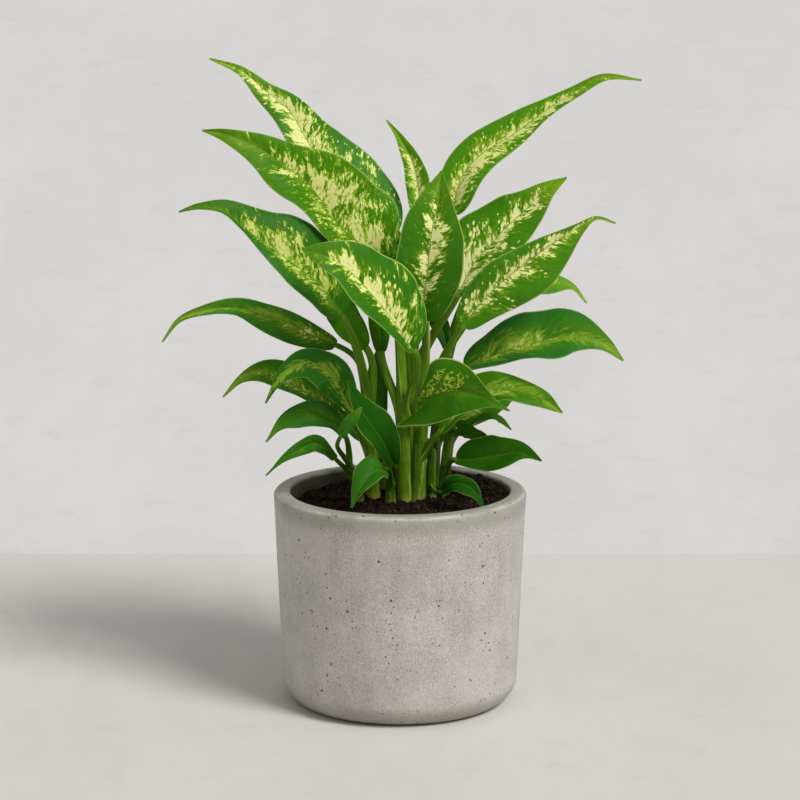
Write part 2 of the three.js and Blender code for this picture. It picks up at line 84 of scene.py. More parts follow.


# Angles are in degrees. Pairs of sides are right, then left.
# turn: how far a blade turns about its midrib at its base, middle and tip
# fold: how steeply its halves rise; wave and phase: how high its margin's waves are, and where they start
# lobe: how far its base sweeps back; stout: how thick its petiole is
# rise and hold: how long the petiole keeps the way of the cane and of the midrib
# cream and lean: how solid its cream is, -1 for none, and how much more the right side has
# zone and span: how far cream reaches from the midrib, and from where to where along the blade
# spine, specks and wide: how much the cream leaves the midrib, breaks into loose dots and stays whole
# bleach: how pale the cream is; tone: how light the green is, partly painted light; cool: how bluish, a
# painted sheen
# brush, line and scrawl: how clear light strokes, partly painted sheen, a pale margin and yellow curls are
# sheath: how clear the pale strip at the end of the petiole is
LEAF = dict(
    turn=[0, 0, 0], fold=16, wave=1.4, phase=0, lobe=[0, 0], stout=1, rise=0.4, hold=0.3, cream=-1, lean=0,
    zone=0.8, span=[0.1, 0.8], spine=0, specks=0, wide=0, bleach=0.5, tone=0.5, cool=0, brush=0.1, line=0.5,
    scrawl=0, sheath=0,
)
CANES = dict(
    middle_left=cane("stem_middle", [4.2, 3.8], [[3.2, -1, 120], [2, -2, 142], [1.8, -3, 172]], 0.92, 26,
        [0.5, 1]),
    middle_right=cane("stem_middle", [4.1, 3.8], [[10.8, -1.6, 121], [11.4, -2, 145], [13, -4, 174]], 0.6,
        90, [-0.7, 1.3]),
    front_left=cane("stem_front_left", [2.8, 2.4], [[-5.5, -9, 120], [-5.5, -10, 134], [-5, -11, 152]], 0.05,
        90, [0.3, -0.6]),
    front_right=cane("stem_front_right", [3, 2.5], [[18.4, 4.8, 120], [18.6, 4, 134], [19, 4, 152]], 0.1, 90,
        [0.2, 0.8]),
    left=cane("stem_left", [4, 3.2], [[-16, 8, 120], [-17, 5, 150], [-19, 0, 176]], 1, 90, [0.9, 0.2]),
    low_left=cane("stem_low_left", [2.8, 2.2], [[-24, 0, 120], [-27, -1, 132], [-30, -3, 144]], 0.3, 90,
        [0.2, -0.5]),
    right=cane("stem_right", [3.6, 2.8], [[26, 9, 120], [28, 9, 145], [31, 9, 166]], 0.6, 15, [-0.4, 0.5]),
    back=cane("stem_back", [4.4, 3.4], [[5, 18, 120], [5, 19, 160], [6, 20, 200]], 0.5, 52, [0.3, -0.5]),
    back_left=cane("stem_back_left", [3.6, 2.8], [[-9, 27, 120], [-10, 27, 145], [-11, 26, 166]], 0.1, 24,
        [-0.5, 0.3]),
    back_right=cane("stem_back_right", [3.8, 3], [[20, 27, 120], [21, 28, 145], [23, 28, 170]], 0.6, 90,
        [0.8, 0.1]),
)
LEAVES = dict(
    top_left=leaf("back", 176, [[-3, 22, 276], [-24, 26, 294], [-41, 30, 311], [-53, 34, 328],
        [-66, 38, 349], [-80, 40, 360], [-94, 40, 372], [-112, 36, 379]], [24, 27, 11, 3], [13, 15, 13, 4],
        turn=[35, 25, -15], cream=0.06, lean=0.02, zone=1, span=[0, 0.85], spine=0.05, specks=1.3, wide=0.05,
        bleach=0.6, tone=0.92, cool=0.7, brush=0.8),
    second_left=leaf("middle_left", 158, [[-9, -2, 262], [-24, -6, 276], [-37, -9, 288], [-52, -14, 310],
        [-68, -18, 323], [-81, -20, 332], [-100, -21, 340], [-113, -20, 342]], [32, 32, 16, 5],
        [13, 15, 18, 7], turn=[25, 20, -10], fold=20, phase=1, rise=0.5, hold=0.1, cream=-0.07, lean=0.08,
        zone=1.05, span=[0.02, 0.74], spine=0.2, specks=0.7, bleach=0.3, tone=0.6, brush=0.5),
    third_left=leaf("left", 150, [[-34, -16, 234], [-45, -22, 252], [-63, -28, 268], [-79, -32, 280],
        [-91, -34, 290], [-101, -36, 298], [-114, -36, 300], [-126, -34, 297]], [19, 26, 19, 4],
        [14, 18, 5, 3], turn=[30, 35, 40], fold=20, phase=2, stout=1.2, cream=-0.13, lean=0.07, zone=0.95,
        span=[0.12, 0.74], spine=0.1, specks=0.5, bleach=0.05, tone=0.42, cool=0.6, brush=0.6),
    fourth_left=leaf("left", 140, [[-38, 1, 214], [-51, -8, 221], [-67, -17, 231], [-81, -21, 236],
        [-95, -24, 240], [-112, -27, 239], [-127, -29, 234], [-137, -30, 221]], [6.5, 8.5, 6, 1.5],
        [7.5, 11.5, 4, 2], turn=[-10, -22, 0], fold=14, phase=3, rise=0.8, cream=-0.17, zone=0.9,
        span=[0.1, 0.27], bleach=0.6, tone=0.8, cool=0.8, brush=1),
    arched_left=leaf("left", 132, [[-27, -16, 177], [-32, -24, 188], [-40, -32, 203], [-53, -38, 211],
        [-63, -42, 208], [-71, -45, 200], [-77, -46, 188]], [7, 11, 8, 1.5], [5.5, 12, 10, 3],
        turn=[10, 0, -10], cream=-0.3, zone=0.9, span=[0.1, 0.7], tone=0.2, cool=0.6, brush=1),
    behind_arch=leaf("left", 128, [[-33, 8, 169], [-38, 6, 173], [-50, 3, 182], [-65, 0, 191],
        [-81, -3, 197], [-94, -5, 194], [-104, -6, 184]], [5, 10, 11, 2], [4, 6, 6, 2.5], turn=[20, 25, 10],
        phase=1, cream=-0.2, zone=0.9, span=[0.1, 0.7], tone=1, cool=0.6, brush=1),
    low_left=leaf("low_left", 138, [[-33, -10, 163], [-40, -14, 172], [-52, -18, 177], [-67, -22, 173],
        [-78, -25, 161]], [4.5, 8, 6, 2], [4, 7.5, 8, 2], wave=1, phase=2, tone=0.6, cool=1, brush=0.3),
    lowest_left=leaf("low_left", 128, [[-38, -19, 150], [-43, -21, 156], [-49, -23, 160], [-56, -25, 158],
        [-67, -27, 152], [-78, -30, 142]], [3, 5.5, 3.5, 1], [3.5, 5.5, 3.5, 1], fold=22, wave=1, phase=3,
        tone=0.35, cool=0.5, brush=0.2),
    small_left=leaf("low_left", 134, [[-34, -38, 167], [-29, -43, 175], [-22, -48, 186]], [2.5, 3, 3, 1.8],
        [3, 4.2, 4.2, 2], wave=0.4, tone=0.8, cool=1, line=0.6),
    front_left=leaf("front_left", 130, [[-3, -21, 146], [-10, -28, 162], [-18, -33, 175], [-25, -36, 187],
        [-30, -38, 200]], [7, 13, 11, 4.5], [5, 9, 11, 4], turn=[5, 38, 30], wave=1, phase=1, tone=0.03,
        brush=0, line=0.6),
    small_front=leaf("front_left", 126, [[-9, -30, 146], [-15, -38, 146], [-22, -44, 139], [-28, -47, 127]],
        [9, 10.5, 7, 2.5], [7, 7.8, 5, 1.5], turn=[30, 30, 20], wave=0.6, phase=2, tone=0.25, cool=0.4,
        line=0.8),
    small_right=leaf("front_right", 126, [[24, -20, 130], [30, -26, 136], [37, -30, 137], [44, -34, 133],
        [49, -37, 124]], [3.5, 5.8, 7, 3], [3.5, 5.5, 4.5, 1.5], turn=[-30, -30, -20], wave=0.6, phase=3,
        rise=0.2, tone=0, brush=0, line=0.7),
    low_right=leaf("right", 130, [[33, -4, 146], [41, -8, 147], [56, -13, 150], [70, -18, 153],
        [83, -21, 149]], [5, 9, 9, 2], [11, 13, 10.5, 4.5], turn=[-25, -20, -15], wave=1, tone=0.1, line=0.6),
    thin_right=leaf("right", 142, [[42, 20, 163], [51, 23, 167], [59, 25, 166], [67, 26, 158]],
        [2, 3.8, 4, 2], [1.5, 2.3, 2, 1], turn=[-40, -40, -40], wave=0.6, phase=1, tone=0.4, line=0.4),
    behind_low_right=leaf("right", 138, [[32, 4, 160], [38, 4, 162], [45, 3, 160], [54, 1, 157]],
        [3.3, 6, 5, 2], [2.6, 4.5, 3.5, 2], turn=[-30, -30, -30], wave=0.6, phase=2, tone=0.25, line=0.3),
    front_right=leaf("middle_right", 154, [[12, -41, 189.5], [21, -48, 193.5], [34, -56, 197],
        [48, -63, 194], [62, -68, 188]], [12, 17, 12, 2.5], [9, 21, 11, 2], phase=3, lobe=[30, 0], stout=0.8,
        span=[0, 0.45], tone=0.36, cool=0.1, brush=0.2, line=0.9, scrawl=1),
    lower_right=leaf("middle_right", 138, [[24, -10, 164], [35, -12, 176], [50, -14, 186], [64, -16, 190],
        [82, -18, 186], [95, -18, 177]], [5.5, 6, 10, 6], [8, 17, 10.5, 4.5], turn=[-45, -40, -15],
        stout=1.2, cream=-0.26, span=[0.05, 0.6], bleach=0.4, tone=0.45, brush=0.85, line=0.6),
    third_right=leaf("right", 152, [[38, 6, 200], [53, 0, 207], [67, -6, 214], [85, -11, 219],
        [102, -15, 223], [119, -18, 218], [130, -19, 208]], [7, 11, 16, 5.5], [13.5, 18.5, 18, 4.8],
        turn=[-35, -30, -10], phase=1, cream=-0.26, span=[0.1, 0.75], bleach=0.4, tone=0.7, cool=1, brush=1,
        line=0.6),
    second_right=leaf("middle_right", 150, [[37, -12, 227], [47, -15, 241], [58, -18, 253], [81, -22, 272],
        [103, -24, 287], [113, -24, 292], [124, -23, 289]], [11, 19, 17, 2], [12, 15, 8, 2],
        turn=[10, 18, 20], phase=2, stout=1.1, cream=-0.07, lean=-0.04, zone=0.9, span=[0.05, 0.85],
        specks=1.6, wide=0.15, bleach=1, tone=1, cool=0.4, brush=0.5, line=0.7),
    upper_right=leaf("back", 172, [[34, 12, 242], [44, 14, 261], [53, 15, 271], [62, 16, 281], [74, 17, 292],
        [85, 17, 304], [98, 16, 311]], [13, 19.5, 16, 8], [14.5, 24, 16.5, 4.5], turn=[-20, -22, -5],
        phase=3, cream=-0.01, lean=-0.03, zone=0.9, span=[0.05, 0.85], specks=1.6, wide=0.2, bleach=1,
        tone=0.95, cool=0.3, brush=0.35, line=0.7),
    top_right=leaf("back", 180, [[31, 18, 289], [36, 22, 310], [47, 25, 323], [68, 28, 336], [83, 30, 347],
        [103, 31, 360], [120, 31, 369], [142, 28, 367]], [14, 12, 6.5, 4], [12, 13.5, 7.2, 1.5],
        turn=[-10, -20, -30], fold=25, cream=0, lean=0.1, zone=1, span=[0.02, 0.75], spine=0.02, specks=1.2,
        wide=0.05, tone=0.9, cool=0.2, brush=0.85, line=0.6),
    youngest=leaf("back", 188, [[12, 26, 287], [11, 30, 302], [8, 33, 317], [1, 35, 331], [-8, 36, 343]],
        [6.5, 8.2, 5, 2], [7.5, 8, 6, 2], fold=30, wave=0.5, phase=1, cream=0.06, zone=1, span=[0, 0.6],
        specks=0.3, wide=0.1, tone=1, cool=0.2, brush=1),
    centre=leaf("middle_right", 160, [[15, -12, 230], [14, -19, 244], [16, -26, 262], [18, -30, 283],
        [22, -28, 303], [24, -20, 319]], [15, 20, 20, 7], [12, 19, 18, 10], turn=[0, 0, -25], wave=1,
        phase=2, cream=-0.05, lean=0.02, zone=0.85, span=[0.12, 0.82], spine=0.05, specks=0.5, wide=0.05,
        bleach=0.8, tone=0.62, cool=0.4, brush=0.25, line=0.9, sheath=1.5),
    front=leaf("middle_left", 160, [[8, -30, 216], [1, -38, 228], [-8, -47, 242], [-18, -54, 255],
        [-31, -59, 269], [-44, -61, 276], [-55, -61, 279]], [20, 27, 23, 10], [7, 12, 16, 9],
        turn=[30, 35, 15], fold=18, wave=1.2, phase=3, cream=0.04, span=[0.04, 0.8], specks=0.5, wide=0.3,
        cool=0.4, brush=0.2, line=0.9),
    under_third=leaf("left", 160, [[-20, 3, 212], [-34, 2, 230], [-46, 0, 249], [-61, -3, 266]],
        [9, 13, 11, 5], [9, 13, 11, 5], turn=[40, 40, 40], wave=1, stout=1.2, tone=0.6, line=0.1),
    back_middle_left=leaf("middle_left", 160, [[-11, 5, 209], [-12, 10, 224], [-13, 16, 239],
        [-15, 21, 252]], [5, 7, 7, 3], [5, 6.5, 6.5, 3], phase=1, stout=1.5, tone=0.45, brush=0, line=0.1),
    back_middle_right=leaf("back_right", 160, [[28, 13, 210], [25, 20, 221], [20, 28, 232], [16, 34, 240]],
        [3.5, 5, 4, 2], [3.5, 6, 6, 3], phase=2, cream=-0.3, tone=0.1, line=0.1),
    back_top=leaf("back", 184, [[9, 24, 237], [12, 44, 257], [17, 66, 278], [21, 84, 291]], [13, 17, 14, 5],
        [13, 17, 14, 5], phase=3, cream=0, zone=0.95, span=[0.05, 0.8], brush=0.4, line=0.3),
    back_top_left=leaf("back", 166, [[-5, 26, 258], [-22, 48, 280], [-39, 68, 298], [-52, 82, 312],
        [-60, 90, 318]], [14, 19, 15, 5], [14, 19, 15, 5], turn=[15, 15, 15], cream=0, zone=0.95,
        span=[0.05, 0.8], brush=0.4, line=0.3),
    back_top_right=leaf("back_right", 160, [[42, 28, 243], [52, 45, 256], [64, 62, 270], [76, 74, 281],
        [86, 80, 287]], [13, 17, 14, 5], [13, 17, 14, 5], turn=[-15, -15, -15], phase=1, cream=0, zone=0.95,
        span=[0.05, 0.8], brush=0.4, line=0.3),
    back_right=leaf("back_right", 148, [[39, 24, 230], [52, 34, 238], [72, 48, 243], [91, 56, 242],
        [105, 61, 239], [114, 64, 229]], [12, 17, 13, 3], [12, 16, 12, 3], turn=[-50, -50, -40], phase=2,
        hold=0.1, cream=-0.02, zone=0.9, span=[0.05, 0.7], tone=1, cool=0.6, brush=0.6, line=0.4),
    inner_left=leaf("back_left", 138, [[-12, 30, 162], [-13, 35, 180], [-12, 39, 197], [-10, 41, 212]],
        [5, 6, 5, 2], [6, 8, 7, 3], phase=2, tone=0.35, brush=0, line=0.1),
    back_low_left=leaf("back_left", 136, [[-17, 30, 150], [-22, 48, 159], [-28, 66, 164], [-33, 82, 165]],
        [10, 14, 12, 4], [10, 14, 12, 4], wave=1, phase=3, tone=0.2, brush=0.2, line=0.3),
    back_low=leaf("back_right", 136, [[12, 32, 158], [14, 54, 168], [17, 76, 173], [20, 94, 170]],
        [11, 15, 12, 4], [11, 15, 12, 4], wave=1, cream=-0.26, span=[0.1, 0.7], tone=0.25, brush=0.4,
        line=0.3),
    back_low_right=leaf("back_right", 142, [[32, 30, 160], [48, 44, 170], [64, 58, 174], [78, 68, 170]],
        [10, 13, 11, 4], [10, 13, 11, 4], turn=[-20, -20, -20], wave=1, phase=1, cream=-0.26,
        span=[0.1, 0.7], tone=0.25, brush=0.4, line=0.3),
)


def unit(v):
    return v / np.linalg.norm(v)


def bell(x, width):
    """1 at x = 0, falling to almost 0 at twice the width."""
    return np.exp(-((x / width) ** 2))


def abreast(*values):
    """Columns of values, each of them one number or many."""
    return np.stack(np.broadcast_arrays(*values), 1)


class Path:
    """A line in space with places by share of its length."""

    def __init__(self, point):
        self.point = point
        self.ts = np.linspace(0, 1, 201)
        places = np.array([point(t) for t in self.ts])
        steps = np.linalg.norm(np.diff(places, axis=0), axis=1)
        self.reach = np.concatenate([[0], np.cumsum(steps)])
        self.length = self.reach[-1]

    def share(self, u):
        return float(np.interp(u * self.length, self.reach, self.ts))

    def at(self, u):
        return self.point(self.share(u))

    def heading(self, t):
        return unit(self.point(min(t + 1e-4, 1)) - self.point(max(t - 1e-4, 0)))

    def along(self, u):
        return self.heading(self.share(u))


def through(points):
    """A smooth path through points, unevenly spaced ones too."""
    p = [np.array(q, float) for q in points]
    last = len(p) - 1

    def point(t):
        place = last * t
        i = min(int(place), last - 1)
        w = place - i
        a = p[i - 1] if i else 2 * p[0] - p[1]
        b, c = p[i], p[i + 1]
        d = p[i + 2] if i + 2 <= last else 2 * p[-1] - p[-2]
        ab, bc, cd = (math.sqrt(np.linalg.norm(m - n)) for m, n in ((b, a), (c, b), (d, c)))
        start = ((b - a) / ab - (c - a) / (ab + bc) + (c - b) / bc) * bc
        end = ((c - b) / bc - (d - b) / (bc + cd) + (d - c) / cd) * bc
        square = -3 * b + 3 * c - 2 * start - end
        cube = 2 * b - 2 * c + start + end
        return b + start * w + square * w**2 + cube * w**3

    return Path(point)


def bezier(a, b, c, d):
    return Path(lambda t: a * (1 - t) ** 3 + 3 * b * t * (1 - t) ** 2 + 3 * c * t * t * (1 - t) + d * t**3)


def smooth_through(xs, ys, x):
    """The value at x of a smooth line through the points (xs, ys)."""
    ys = np.array(ys, float)
    last = len(xs) - 1
    below = np.maximum(np.arange(last + 1) - 1, 0)
    above = np.minimum(np.arange(last + 1) + 1, last)
    slope = (ys[above] - ys[below]) / (xs[above] - xs[below])
    i = np.clip(np.searchsorted(xs, x, side="left") - 1, 0, last - 1)
    span = xs[i + 1] - xs[i]
    t = (x - xs[i]) / span
    ends = ys[i] * (1 - t) ** 2 * (1 + 2 * t) + ys[i + 1] * t * t * (3 - 2 * t)
    return ends + span * t * (1 - t) * (slope[i] * (1 - t) - slope[i + 1] * t)


# Materials


def plug(socket, value):
    """Links a Flow to a socket, or sets its number, vector or colour."""
    if isinstance(value, Flow):
        socket.id_data.links.new(value.socket, socket)
    elif np.ndim(value) and len(socket.default_value) == 4:
        socket.default_value = (*value, 1.0)
    else:
        socket.default_value = value


def maths(operation):
    """A method that makes a Math node of a value and any others."""

    def method(self, *others):
        return self.node("Math", dict(enumerate((self, *others))), {"operation": operation})

    return method


class Flow:
    """A value in a node tree that takes part in ordinary expressions."""

    def __init__(self, socket):
        self.socket = socket
        self.tree = socket.id_data

    def node(self, kind, sockets, settings=None, out=0):
        """Makes a node with its inputs and settings, and returns its output."""
        made = self.tree.nodes.new("ShaderNode" + kind)
        for name, value in (settings or {}).items():
            setattr(made, name, value)
        for name, value in sockets.items():
            plug(made.inputs[name], value)
        return Flow(made.outputs[out])

    __add__ = __radd__ = maths("ADD")
    __sub__ = maths("SUBTRACT")
    __mul__ = __rmul__ = maths("MULTIPLY")
    __pow__ = maths("POWER")
    __abs__ = maths("ABSOLUTE")
    least = maths("MINIMUM")
    most = maths("MAXIMUM")
    sine = maths("SINE")

    def __rsub__(self, other):
        return (self * -1.0) + other

    def __rtruediv__(self, other):
        return (self**-1.0) * other

    def held(self):
        """The value kept between 0 and 1."""
        return self.least(1.0).most(0.0)

    def rise(self, low, high):
        """0 up to low, 1 from high on, and smooth between."""
        sockets = {"Value": self, "From Min": low, "From Max": high}
        return self.node("MapRange", sockets, {"interpolation_type": "SMOOTHSTEP"})


class Paint:
    """A material whose nodes are made by short calls."""

    node = Flow.node

    def __init__(self, name, specular, roughness=0.5):
        self.material = bpy.data.materials.new(name)
        self.material.use_nodes = True
        self.tree = self.material.node_tree
        self.shader = self.tree.nodes["Principled BSDF"]
        self.feed("Roughness", roughness)
        self.feed("Specular IOR Level", specular)

    def feed(self, name, value):
        plug(self.shader.inputs[name], value)

    def place(self):
        return self.node("TexCoord", {}, out="Object")

    def attribute(self, name, out="Fac"):
        return self.node("Attribute", {}, {"attribute_name": name}, out)

    def three(self, name):
        return self.split(self.attribute(name, "Vector"))

    def split(self, vector):
        made = self.node("SeparateXYZ", {0: vector}).socket.node
        return [Flow(socket) for socket in made.outputs]

    def join(self, x, y, z):
        return self.node("CombineXYZ", {0: x, 1: y, 2: z})

    def mix(self, factor, a, b):
        return self.node("Mix", {0: factor, 6: a, 7: b}, {"data_type": "RGBA"}, 2)

    def over(self, base, *coats):
        """Each coat, a factor and a colour, mixed over the one before."""
        for factor, colour in coats:
            base = self.mix(factor, base, colour)
        return base

    def noise(self, vector, scale, detail=2.0, roughness=0.5):
        sockets = {"Vector": vector, "Scale": scale, "Detail": detail, "Roughness": roughness}
        return self.node("TexNoise", sockets)

    def noise_at(self, x, y, z, detail=2.0, roughness=0.5):
        """Noise over three values of the surface instead of over its place."""
        return self.noise(self.join(x, y, z), 1.0, detail, roughness)

    def cells(self, vector, scale):
        """The distance from the middle of the nearest of many loose cells."""
        return self.node("TexVoronoi", {"Vector": vector, "Scale": scale})

    def relief(self, height, distance):
        self.feed("Normal", self.node("Bump", {"Height": height, "Distance": distance}))


def concrete(settings):
    """Cast concrete: cloudy and sandy grey with small pits painted dark as their shade, darker at rim and
    foot, with a painted highlight along the rim's outer edge, and inside a painted shade with wet stains,
    deepest on the left.
    """
    paint = Paint("concrete", 0.45)
    place = paint.place()
    x, y, z = paint.split(place)
    rim_and_foot_grey, wet = (0.235, 0.23, 0.175), (0.062, 0.055, 0.03)
    painted_rim_highlight, painted_pit_shade = (0.7, 0.69, 0.58), (0.05, 0.046, 0.038)
    cloud = paint.noise(place, 26, 4, 0.6)
    patch = paint.noise(place, 75, 3, 0.6)
    sand = paint.noise(place, 1500, 2, 0.7)
    grit = paint.noise(place, 700, 2, 0.6)
    smear = paint.noise_at(x * 60, y * 60, z * 14, 3, 0.6)
    # Lengths here are in metres: the rim is at z = 0.1275, and out is the distance from the pot's axis.
    # Darker olive grey towards the rim and the foot.
    skin = (z.rise(0.112, 0.122) + (1 - z.rise(0.006, 0.016)) + (smear - 0.5) * 1.2).held()
    shade = (cloud - 0.5) * 0.5 + (patch - 0.5) * 0.2 + (smear - 0.5) * 0.5
    shade = shade + (sand - 0.5) * 1.4 + (grit - 0.5) * 0.4 + 0.52
    out = (x * x + y * y) ** 0.5
    # Painted shade inside the pot's wall, deepest on the left, mottled like wet stains; wet is its colour.
    inside = (z * 0.044 + 0.0694 - out).rise(0.0082, 0.0095) * (1 - z.rise(0.1248, 0.1268))
    damp_and_shade = 0.45 + (0 - x).rise(-0.01, 0.04) * 0.42 + (cloud - 0.5) * 1.2 + (sand - 0.5) * 0.3
    # Painted highlight: a light line along the crest of the rim's outer rounding.
    crest = z.rise(0.1254, 0.1261) * (1 - z.rise(0.1268, 0.1273)) * out.rise(0.0712, 0.0722)
    warp = (paint.noise(place, 420) - 0.5) * 0.35
    # Painted shade: the small pits are painted near black for the shade inside them.
    pit = 1 - (paint.cells(place, 105) + warp * 0.45).rise(0.07, 0.09)
    tiny = 1 - (paint.cells(place, 260) + warp * 0.4).rise(0.1, 0.14)
    hole = pit * paint.noise(place, 61, 1).rise(0.47, 0.5)
    hole = hole.most(tiny * paint.noise(place, 90, 1).rise(0.53, 0.57))
    base = paint.over(
        settings.dark,
        (shade.rise(0.0, 1.0), settings.light),
        (skin * 0.5, rim_and_foot_grey),
        ((inside * damp_and_shade).held(), wet),
        (crest * smear.rise(0.4, 0.6) * 0.38, painted_rim_highlight),
        (hole * 0.8, painted_pit_shade),
    )
    paint.feed("Base Color", base)
    paint.feed("Roughness", 0.5 + (sand - 0.5) * 0.4 + hole * 0.3)
    paint.relief(sand * 0.2 + grit * 0.15 + patch * 0.2 - hole, 0.0006)
    return paint.material


def earth():
    """Moist potting mix: near-black brown with lighter crumbs."""
    paint = Paint("earth", 0.1, 0.9)
    place = paint.place()
    wet, dry = (0.006, 0.0035, 0.0025), (0.082, 0.049, 0.032)
    fine = paint.noise(place, 1400, 3, 0.7)
    lump = paint.noise(place, 260, 3, 0.6)
    shade = (lump * 0.5 + fine * 0.5 + (paint.attribute("grain") - 0.5) * 0.55).rise(0.3, 0.85)
    paint.feed("Base Color", paint.mix(shade, wet, dry))
    paint.relief(fine * 0.5 + lump, 0.0012)
    return paint.material


def stalk():
    """Stem and petiole skin: green with fine lengthwise streaks, pale at the sheath edges and the foot."""
    paint = Paint("stalk", 0.12, 0.42)
    u, v, pale = paint.three("skin")
    tone = paint.attribute("tone")
    place = paint.place()
    streak = paint.noise_at(v * 16, u * 0.5, 0.0, 3, 0.6)
    shade = (streak * 0.6 + paint.noise(place, 45) * 0.4).rise(0.35, 0.65)
    # A cane's tone mixes its dark green into the light one: partly its own colour, partly painted shade on
    # canes in shade.
    old = paint.mix(shade, (0.012, 0.05, 0.001), (0.045, 0.13, 0.002))
    young = paint.mix(shade, (0.06, 0.17, 0.002), (0.15, 0.30, 0.008))
    tan, edge, strip = (0.4, 0.3, 0.08), (0.5, 0.56, 0.13), (0.72, 0.7, 0.3)
    foot = 1 - paint.split(place)[2].rise(0.1205, 0.1265)
    skin = paint.over(
        old,
        (tone, young),
        (foot * tone * 0.5, tan),
        (pale * (0.7 + (streak - 0.5) * 1.2), edge),
        ((pale - 0.9).rise(0.0, 0.6), strip),
    )
    paint.feed("Base Color", skin)
    paint.relief(streak, 0.0002)
    return paint.material


def blade_skin(settings):
    """Leaf skin: green, with a cream heart along the midrib that breaks into specks towards the margin."""
    paint = Paint("leaf_skin", 0.08)
    x, y, under = paint.three("spread")
    u, v, line = paint.three("share")
    cream, seed, tone = paint.three("habit")
    zone, low, high = paint.three("reach")
    brushed, wide, scrawl = paint.three("manner")
    spine, cool, specks = paint.three("marks")
    light, yellow, edge, below = (0.3, 0.44, 0.035), (0.5, 0.6, 0.05), (0.36, 0.5, 0.1), (0.16, 0.3, 0.03)
    vein, pale_vein = (0.1, 0.3, 0.02), (0.09, 0.22, 0.015)
    # t is the distance from the midrib in centimetres. s and bent stay alike along the side veins.
    t = abs(y)
    side = y.rise(-0.02, 0.02) * 7.0 + seed * 40.0
    wander = (paint.noise(paint.join(x, y, side), 0.7) - 0.5) * 0.8
    s = x - t * 1.2 + t * t * 0.1 + wander
    bent = x - t * 0.7 + wander
    broad = paint.noise_at(x * 0.5, t * 0.6, side, 1)
    blotch = paint.noise_at(s * 1.3, t * 0.8, side)
    fleck = paint.noise_at(bent * 4.2, t * 2.0, side + 3, 3, 0.6)
    fine = paint.noise_at(bent * 9.5, t * 5.5, side + 9, 2, 0.6)
    # Where cream may lie, then its edges, its loose dots and its green holes.
    ends = u.rise(low - 0.1, low + 0.06) * (1 - u.rise(high - 0.12, high + 0.12))
    field = (1 - v.rise(0.0, zone)) * ends
    shown = (cream * 8 + 2.5).held()
    noise = (broad - 0.5) * 0.7 + (blotch - 0.5) * 1.3 + (fleck - 0.5) * 1.7
    noise = noise + (fine - 0.5) * (1.3 - wide * 2.5)
    value = field * 0.62 - 0.48 + cream + noise - spine * (1 - t.rise(0.1, 0.4))
    wet = (1 - v.rise(0.5, zone + 0.3)) * ends
    dot = paint.cells(paint.join(bent * 3.0, t * 2.6, side + 13), 1.0) + (fine - 0.5) * 0.4
    dots = (wet * 0.3 + (broad - 0.5) * 0.9 + cream * 0.6 - 0.2 + specks * 0.12 - dot).rise(0.0, 0.05)
    hole = paint.noise_at(bent * 4.4, t * 2.6, side + 31, 2, 0.6)
    holes = (hole * 2.4 - 1.36 - value * 0.3 - wide).rise(0.0, 0.07)
    ivory = (value.rise(0.0, 0.06) * (1 - holes)).most(dots) * shown
    halo = value.rise(-0.25, 0.0).most(dots) * shown
    # The green below it, its light strokes, partly painted sheen, and its curls, and then all the colours,
    # one over another.
    shade = (broad * 0.6 + blotch * 0.4).rise(0.3, 0.7)
    stroke = paint.noise_at((t - x * 0.4 - wander) * 9, x + t * 0.4, side + 5, 3, 0.6)
    stroke = stroke + (0.2 - v.rise(0.1, 0.9)) * 0.3 + (broad - 0.5) * 0.8 + brushed * 0.12 - 0.08
    curl = paint.noise_at(x * 3.6, y * 3.6, side, 1)
    patch = (1 - v.rise(0.6, 0.9)) * (1 - u.rise(0.4, 0.65)) * (1 - y.rise(-0.1, 0.1))
    curl = (1 - abs(curl - 0.5) * 13 + (fine - 0.5) * 3).rise(0.0, 0.6)
    curl = curl * (blotch + patch * 0.4).rise(0.82, 0.94)
    pale = (paint.attribute("bleach") + (fine - 0.5) * 0.8).held()
    rib = (1 - t.rise(0.02, 0.06)) * (1 - u.rise(0.6, 0.95))
    skin = paint.over(
        settings.deep,
        # Tone: partly the leaf's own green, partly painted light and shade for how brightly the leaf is lit.
        (tone, settings.fresh),
        (shade * (tone * 0.4 + 0.05), settings.fresh),
        # Painted sheen: a bluish cast over the blade, strongest towards the margin.
        ((v.rise(0.3, 1.0) + 0.6) * cool * 0.5, settings.margin),
        # Lighter lime towards the tip: partly a young leaf's own colour, partly painted light shining through
        # it.
        (tone * tone * u.rise(0.6, 1.0) * 0.4, settings.lime),
        # Light strokes along the veins: partly the leaf's own pale streaks, partly painted sheen.
        (stroke.rise(0.46, 0.62) * brushed * 0.6, light),
        ((0.5 - fleck).rise(0.0, 0.2) * 0.25, settings.deep),
        (curl * scrawl * patch * 0.85, yellow),
        (halo * 0.65, settings.lime),
        (ivory, paint.mix(pale, settings.cream, settings.ivory)),
        (rib * (0.2 + shown * 0.4), paint.mix(shown * field, vein, pale_vein)),
        (v.rise(0.955, 0.98) * line, edge),
        (under * 0.5, below),
    )
    paint.feed("Base Color", skin)
    quilt = abs((s * 4.5).sine()) * v.rise(0.0, 0.25) * (1 - v.rise(0.75, 1.0))
    paint.relief(0.6 * quilt + fleck * 0.1, 0.00016)
    paint.feed("Roughness", 0.48 + (blotch - 0.5) * 0.15 + under * 0.12)
    return paint.material


